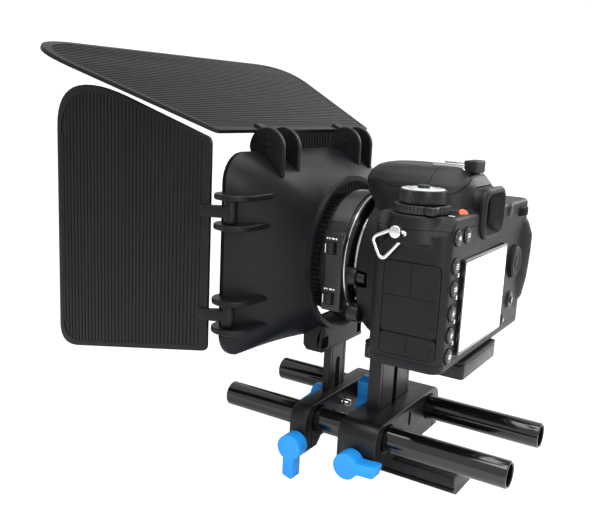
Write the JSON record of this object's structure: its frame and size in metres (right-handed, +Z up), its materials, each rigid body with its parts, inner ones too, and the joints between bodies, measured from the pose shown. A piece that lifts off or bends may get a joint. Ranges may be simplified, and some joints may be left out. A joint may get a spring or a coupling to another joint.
{
  "type": "camera rig with matte box",
  "caption": "Stills camera on a two-rod support with sliding clamp blocks, slotted risers, thumb knobs and a matte box with hinged flags.",
  "frame": {"origin": "centre of the object's bounding box, on the surface the rig stands on", "axes": "+X towards the viewer's left, +Y backwards towards the viewer (the lens looks to -Y), +Z up"},
  "size_m": [0.2462, 0.2636, 0.2441],
  "materials": {
    "anodised": "satin black anodised",
    "rod_gloss": "gloss black anodised tube",
    "blue_polymer": "moulded blue, satin",
    "hood_polymer": "moulded black, fine satin",
    "flag_polymer": "moulded black with fine ribs",
    "camera_polymer": "textured black paint on a moulded shell",
    "lens_polymer": "satin black",
    "rubber": "matt black rubber",
    "steel": "bright steel",
    "inner_polymer": "dull black",
    "optical_glass": "coated glass",
    "display": "lit white display under a clear window",
    "dial_top": "silver grey dial"
  },
  "bodies": {
    "rear_clamp": {"rear_block": "anodised", "tripod_plate": "anodised"},
    "rods": {"rod_left": "rod_gloss", "rod_right": "rod_gloss"},
    "front_clamp": {"front_block": "anodised"},
    "hood": {"front_riser": "anodised", "matte_box": "hood_polymer"},
    "camera": {"rear_riser": "anodised", "camera_plate": "anodised", "plate_pad": "rubber", "camera_screw": "steel", "front_shell": "camera_polymer", "rear_cover": "camera_polymer", "top_cover": "camera_polymer", "base_cover": "camera_polymer", "mount_ring": "steel", "mirror_box": "inner_polymer", "image_sensor": "optical_glass", "pentaprism": "optical_glass", "battery": "inner_polymer", "display_window": "display", "eyecup": "rubber", "lens_barrel": "lens_polymer", "lens_tube": "lens_polymer", "front_glass": "optical_glass"},
    "clamp_knob_front_left": {"clamp_knob_front_left": "blue_polymer"},
    "clamp_knob_rear_left": {"clamp_knob_rear_left": "blue_polymer"},
    "clamp_knob_front_right": {"clamp_knob_front_right": "blue_polymer"},
    "clamp_knob_rear_right": {"clamp_knob_rear_right": "blue_polymer"},
    "riser_knob_front": {"riser_knob_front": "blue_polymer"},
    "riser_knob_rear": {"riser_knob_rear": "blue_polymer"},
    "top_flag": {"top_flag": "flag_polymer"},
    "side_flag_left": {"side_flag_left": "flag_polymer"},
    "side_flag_right": {"side_flag_right": "flag_polymer"},
    "zoom_ring": {"zoom_ring": "rubber"},
    "focus_ring": {"focus_ring": "rubber"},
    "focus_switch": {"focus_switch": "lens_polymer"},
    "stabiliser_switch": {"stabiliser_switch": "lens_polymer"},
    "reflex_mirror": {"reflex_mirror": "optical_glass"},
    "popup_flash": {"popup_flash": "camera_polymer"},
    "mode_dial": {"mode_dial": "dial_top"},
    "drive_ring": {"drive_ring": "camera_polymer"},
    "shutter_button": {"shutter_button": "camera_polymer"},
    "power_ring": {"power_ring": "camera_polymer"},
    "rear_dial": {"rear_dial": "rubber"},
    "front_dial": {"front_dial": "rubber"},
    "multi_selector": {"multi_selector": "rubber"},
    "menu_button_1": {"menu_button_1": "camera_polymer"},
    "menu_button_2": {"menu_button_2": "camera_polymer"},
    "menu_button_3": {"menu_button_3": "camera_polymer"},
    "menu_button_4": {"menu_button_4": "camera_polymer"},
    "menu_button_5": {"menu_button_5": "camera_polymer"},
    "playback_button": {"playback_button": "camera_polymer"},
    "delete_button": {"delete_button": "camera_polymer"},
    "lens_release": {"lens_release": "camera_polymer"},
    "strap_ring_left": {"strap_ring_left": "steel"},
    "strap_ring_right": {"strap_ring_right": "steel"},
    "port_cover_upper": {"port_cover_upper": "rubber"},
    "port_cover_lower": {"port_cover_lower": "rubber"},
    "battery_door": {"battery_door": "camera_polymer"}
  },
  "joints": [
    {"name": "rods_slide", "type": "slide", "parent": "rear_clamp", "child": "rods", "axis": [0, 1, 0], "range_m": [-0.03, 0.002]},
    {"name": "front_clamp_slide", "type": "slide", "parent": "rods", "child": "front_clamp", "axis": [0, 1, 0], "range_m": [-0.05, 0.002]},
    {"name": "hood_height", "type": "slide", "parent": "front_clamp", "child": "hood", "axis": [0, 0, 1], "range_m": [-0.004, 0.004]},
    {"name": "camera_height", "type": "slide", "parent": "rear_clamp", "child": "camera", "axis": [0, 0, 1], "range_m": [-0.004, 0.004]},
    {"name": "clamp_knob_front_left_turn", "type": "hinge", "parent": "front_clamp", "child": "clamp_knob_front_left", "pos_m": [0.0466, 0.0106, 0.019], "axis": [1, 0, 0], "continuous": true},
    {"name": "clamp_knob_rear_left_turn", "type": "hinge", "parent": "rear_clamp", "child": "clamp_knob_rear_left", "pos_m": [0.0466, 0.0481, 0.019], "axis": [1, 0, 0], "continuous": true},
    {"name": "clamp_knob_front_right_turn", "type": "hinge", "parent": "front_clamp", "child": "clamp_knob_front_right", "pos_m": [-0.0466, 0.0106, 0.019], "axis": [-1, 0, 0], "continuous": true},
    {"name": "clamp_knob_rear_right_turn", "type": "hinge", "parent": "rear_clamp", "child": "clamp_knob_rear_right", "pos_m": [-0.0466, 0.0481, 0.019], "axis": [-1, 0, 0], "continuous": true},
    {"name": "riser_knob_front_turn", "type": "hinge", "parent": "front_clamp", "child": "riser_knob_front", "pos_m": [0, 0.004, 0.031], "axis": [0, -1, 0], "continuous": true},
    {"name": "riser_knob_rear_turn", "type": "hinge", "parent": "rear_clamp", "child": "riser_knob_rear", "pos_m": [0, 0.0365, 0.032], "axis": [0, -1, 0], "continuous": true},
    {"name": "top_flag_hinge", "type": "hinge", "parent": "hood", "child": "top_flag", "pos_m": [0, -0.0142, 0.1922], "axis": [-1, 0, 0], "range_deg": [-3, 60]},
    {"name": "side_flag_left_hinge", "type": "hinge", "parent": "hood", "child": "side_flag_left", "pos_m": [0.0845, -0.0142, 0.1288], "axis": [0, 0, 1], "range_deg": [-12, 80]},
    {"name": "side_flag_right_hinge", "type": "hinge", "parent": "hood", "child": "side_flag_right", "pos_m": [-0.0845, -0.0142, 0.1288], "axis": [0, 0, -1], "range_deg": [-12, 80]},
    {"name": "zoom_ring_turn", "type": "hinge", "parent": "camera", "child": "zoom_ring", "pos_m": [0, 0.0086, 0.1268], "axis": [0, 1, 0], "range_deg": [0, 80]},
    {"name": "focus_ring_turn", "type": "hinge", "parent": "camera", "child": "focus_ring", "pos_m": [0, -0.0049, 0.1268], "axis": [0, 1, 0], "range_deg": [-60, 60]},
    {"name": "focus_switch_slide", "type": "slide", "parent": "camera", "child": "focus_switch", "axis": [0, 1, 0], "range_m": [0, 0.002]},
    {"name": "stabiliser_switch_slide", "type": "slide", "parent": "camera", "child": "stabiliser_switch", "axis": [0, 1, 0], "range_m": [0, 0.002]},
    {"name": "reflex_mirror_lift", "type": "hinge", "parent": "camera", "child": "reflex_mirror", "pos_m": [0, 0.0706, 0.1418], "axis": [-1, 0, 0], "range_deg": [0, 44], "stiffness_Nm_per_rad": 0.02, "springref_deg": -22.92},
    {"name": "popup_flash_hinge", "type": "hinge", "parent": "camera", "child": "popup_flash", "pos_m": [0, 0.0742, 0.1852], "axis": [-1, 0, 0], "range_deg": [0, 70]},
    {"name": "mode_dial_turn", "type": "hinge", "parent": "camera", "child": "mode_dial", "pos_m": [0.045, 0.0774, 0.172], "axis": [0, 0, 1], "continuous": true},
    {"name": "drive_ring_turn", "type": "hinge", "parent": "camera", "child": "drive_ring", "pos_m": [0.045, 0.0774, 0.166], "axis": [0, 0, 1], "range_deg": [-80, 10]},
    {"name": "shutter_button_press", "type": "slide", "parent": "camera", "child": "shutter_button", "axis": [0, 0, -1], "range_m": [0, 0.0015], "stiffness_N_per_m": 300, "springref_m": -0.002},
    {"name": "power_ring_turn", "type": "hinge", "parent": "camera", "child": "power_ring", "pos_m": [-0.06, 0.0456, 0.157], "axis": [0, 0, 1], "range_deg": [-40, 20]},
    {"name": "rear_dial_turn", "type": "hinge", "parent": "camera", "child": "rear_dial", "pos_m": [-0.06, 0.0911, 0.1572], "axis": [0, 0, 1], "continuous": true},
    {"name": "front_dial_turn", "type": "hinge", "parent": "camera", "child": "front_dial", "pos_m": [-0.058, 0.0422, 0.1394], "axis": [1, 0, 0], "continuous": true},
    {"name": "multi_selector_tilt", "type": "hinge", "parent": "camera", "child": "multi_selector", "pos_m": [-0.0495, 0.0976, 0.1275], "axis": [1, 0, 0], "range_deg": [-4, 4], "stiffness_Nm_per_rad": 0.2},
    {"name": "menu_button_1_press", "type": "slide", "parent": "camera", "child": "menu_button_1", "axis": [0, -1, 0], "range_m": [0, 0.0008], "stiffness_N_per_m": 250, "springref_m": -0.001},
    {"name": "menu_button_2_press", "type": "slide", "parent": "camera", "child": "menu_button_2", "axis": [0, -1, 0], "range_m": [0, 0.0008], "stiffness_N_per_m": 250, "springref_m": -0.001},
    {"name": "menu_button_3_press", "type": "slide", "parent": "camera", "child": "menu_button_3", "axis": [0, -1, 0], "range_m": [0, 0.0008], "stiffness_N_per_m": 250, "springref_m": -0.001},
    {"name": "menu_button_4_press", "type": "slide", "parent": "camera", "child": "menu_button_4", "axis": [0, -1, 0], "range_m": [0, 0.0008], "stiffness_N_per_m": 250, "springref_m": -0.001},
    {"name": "menu_button_5_press", "type": "slide", "parent": "camera", "child": "menu_button_5", "axis": [0, -1, 0], "range_m": [0, 0.0008], "stiffness_N_per_m": 250, "springref_m": -0.001},
    {"name": "playback_button_press", "type": "slide", "parent": "camera", "child": "playback_button", "axis": [0, -1, 0], "range_m": [0, 0.0008], "stiffness_N_per_m": 250, "springref_m": -0.001},
    {"name": "delete_button_press", "type": "slide", "parent": "camera", "child": "delete_button", "axis": [0, -1, 0], "range_m": [0, 0.0008], "stiffness_N_per_m": 250, "springref_m": -0.001},
    {"name": "lens_release_press", "type": "slide", "parent": "camera", "child": "lens_release", "axis": [0, 1, 0], "range_m": [0, 0.0014], "stiffness_N_per_m": 300, "springref_m": -0.002},
    {"name": "strap_ring_left_swing", "type": "hinge", "parent": "camera", "child": "strap_ring_left", "pos_m": [0.0629, 0.0721, 0.1554], "axis": [0, -1, 0], "range_deg": [0, 80]},
    {"name": "strap_ring_right_swing", "type": "hinge", "parent": "camera", "child": "strap_ring_right", "pos_m": [-0.0794, 0.0721, 0.1554], "axis": [0, 1, 0], "range_deg": [0, 80]},
    {"name": "port_cover_upper_hinge", "type": "hinge", "parent": "camera", "child": "port_cover_upper", "pos_m": [0.0599, 0.0656, 0.122], "axis": [0, 0, -1], "range_deg": [0, 100]},
    {"name": "port_cover_lower_hinge", "type": "hinge", "parent": "camera", "child": "port_cover_lower", "pos_m": [0.0599, 0.0656, 0.097], "axis": [0, 0, -1], "range_deg": [0, 100]},
    {"name": "battery_door_hinge", "type": "hinge", "parent": "camera", "child": "battery_door", "pos_m": [-0.0595, 0.0867, 0.084], "axis": [1, 0, 0], "range_deg": [0, 90]}
  ]
}
